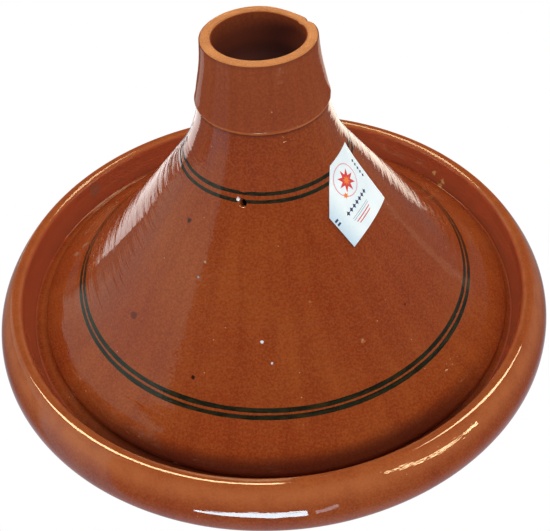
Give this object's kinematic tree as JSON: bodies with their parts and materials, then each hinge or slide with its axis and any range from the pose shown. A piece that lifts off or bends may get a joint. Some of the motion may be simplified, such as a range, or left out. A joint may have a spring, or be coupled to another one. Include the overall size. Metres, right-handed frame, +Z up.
{
  "type": "tagine pot",
  "caption": "Glazed earthenware cooking tagine: a broad dish with a rolled rim and a lift-off conical lid with a hollow knob and a steam vent.",
  "frame": {"origin": "centre of the dish's flat underside", "axes": "+Z up along the dish's axis, out through the knob; -Y towards the side with the steam vent; +X to the right when that side faces the viewer"},
  "size_m": [0.32, 0.32, 0.2136],
  "materials": {
    "bare_clay": "unglazed fired clay, fine grained and dry",
    "brown_glaze": "clear honey-brown gloss glaze over red clay, with fine pale specks",
    "band_paint": "dark green-black slip painted by hand and covered by the glaze",
    "label_paper": "satin coated paper"
  },
  "bodies": {
    "dish": {"dish_body": "bare_clay", "dish_glaze": "brown_glaze"},
    "lid": {"lid_cone": "bare_clay", "lid_knob": "bare_clay", "lid_glaze": "brown_glaze", "knob_glaze": "brown_glaze", "upper_band_high": "band_paint", "upper_band_low": "band_paint", "lower_band_high": "band_paint", "lower_band_low": "band_paint", "paper_label": "label_paper"}
  },
  "joints": [
    {"name": "lid_lift", "type": "slide", "parent": "dish", "child": "lid", "axis": [0, 0, 1], "range_m": [0, 0.16]}
  ]
}
